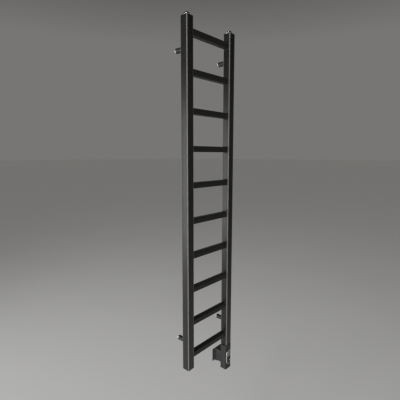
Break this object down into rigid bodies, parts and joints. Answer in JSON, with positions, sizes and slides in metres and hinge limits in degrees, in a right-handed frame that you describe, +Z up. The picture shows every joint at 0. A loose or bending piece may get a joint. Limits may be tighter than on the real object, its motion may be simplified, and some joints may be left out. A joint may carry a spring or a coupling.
{
  "type": "electric towel warmer rack",
  "caption": "Wall-hung electric towel warmer: square posts and rungs in satin black, chrome plugs, round brackets, and a control head with a cable duct below one post.",
  "frame": {"origin": "centre of the four wall fixings, in the plane of the wall", "axes": "+Z up, -Y to the room and +Y into the wall, +X to the right seen from the room"},
  "size_m": [0.265, 0.064, 1.3185],
  "materials": {
    "powder_coat": "satin black powder coat",
    "bracket_steel": "polished black",
    "chrome": "polished",
    "key_metal": "polished",
    "lens": "gloss",
    "head_plastic": "matt dark grey",
    "plated_steel": "zinc plated",
    "brass": "turned",
    "rubber": "matt",
    "ceramic": "matt",
    "board": "solder mask",
    "component": "moulded",
    "led": "clear"
  },
  "bodies": {
    "rail": {"bezel": "chrome", "board_screws": "plated_steel", "bottom_left_plug": "chrome", "bottom_left_socket": "powder_coat", "bottom_right_socket": "powder_coat", "bracket_screws": "plated_steel", "bracket_sleeve_bottom_left": "bracket_steel", "bracket_sleeve_bottom_right": "bracket_steel", "bracket_sleeve_top_left": "bracket_steel", "bracket_sleeve_top_right": "bracket_steel", "cable_duct": "head_plastic", "cable_gland": "head_plastic", "circuit_board": "board", "cover_gasket": "rubber", "cover_screws": "plated_steel", "display_lens": "lens", "gland_ring": "head_plastic", "grub_screws": "plated_steel", "head_housing": "head_plastic", "heater_core": "ceramic", "heater_gasket": "rubber", "heater_nut": "bracket_steel", "heater_pins": "plated_steel", "heater_sheath": "plated_steel", "key_switch": "component", "left_post": "powder_coat", "neck_ring": "brass", "plug_seals": "rubber", "post_bosses": "powder_coat", "rear_cover": "head_plastic", "relay": "component", "right_post": "powder_coat", "rung_01": "powder_coat", "rung_02": "powder_coat", "rung_03": "powder_coat", "rung_04": "powder_coat", "rung_05": "powder_coat", "rung_06": "powder_coat", "rung_07": "powder_coat", "rung_08": "powder_coat", "rung_09": "powder_coat", "rung_10": "powder_coat", "rung_welds": "powder_coat", "sensor_tube": "plated_steel", "status_leds": "led", "terminal_block": "component", "thermal_cutout": "ceramic", "top_left_plug": "chrome", "top_left_socket": "powder_coat", "top_right_socket": "powder_coat", "top_right_vent_plug": "chrome", "transformer": "component", "wall_collar": "head_plastic", "wall_spigot_bottom_left": "plated_steel", "wall_spigot_bottom_right": "plated_steel", "wall_spigot_top_left": "plated_steel", "wall_spigot_top_right": "plated_steel"},
    "power_key": {"power_key": "key_metal", "switch_plunger": "component"},
    "bleed_screw": {"bleed_screw": "chrome"}
  },
  "joints": [
    {"name": "key_press", "type": "slide", "parent": "rail", "child": "power_key", "axis": [0, 1, 0], "range_m": [0, 0.0008], "stiffness_N_per_m": 1500, "springref_m": -0.0003},
    {"name": "bleed_turn", "type": "hinge", "parent": "rail", "child": "bleed_screw", "pos_m": [0.11, -0.047, 0.6055], "axis": [0, 0, 1], "range_deg": [0, 180]}
  ]
}
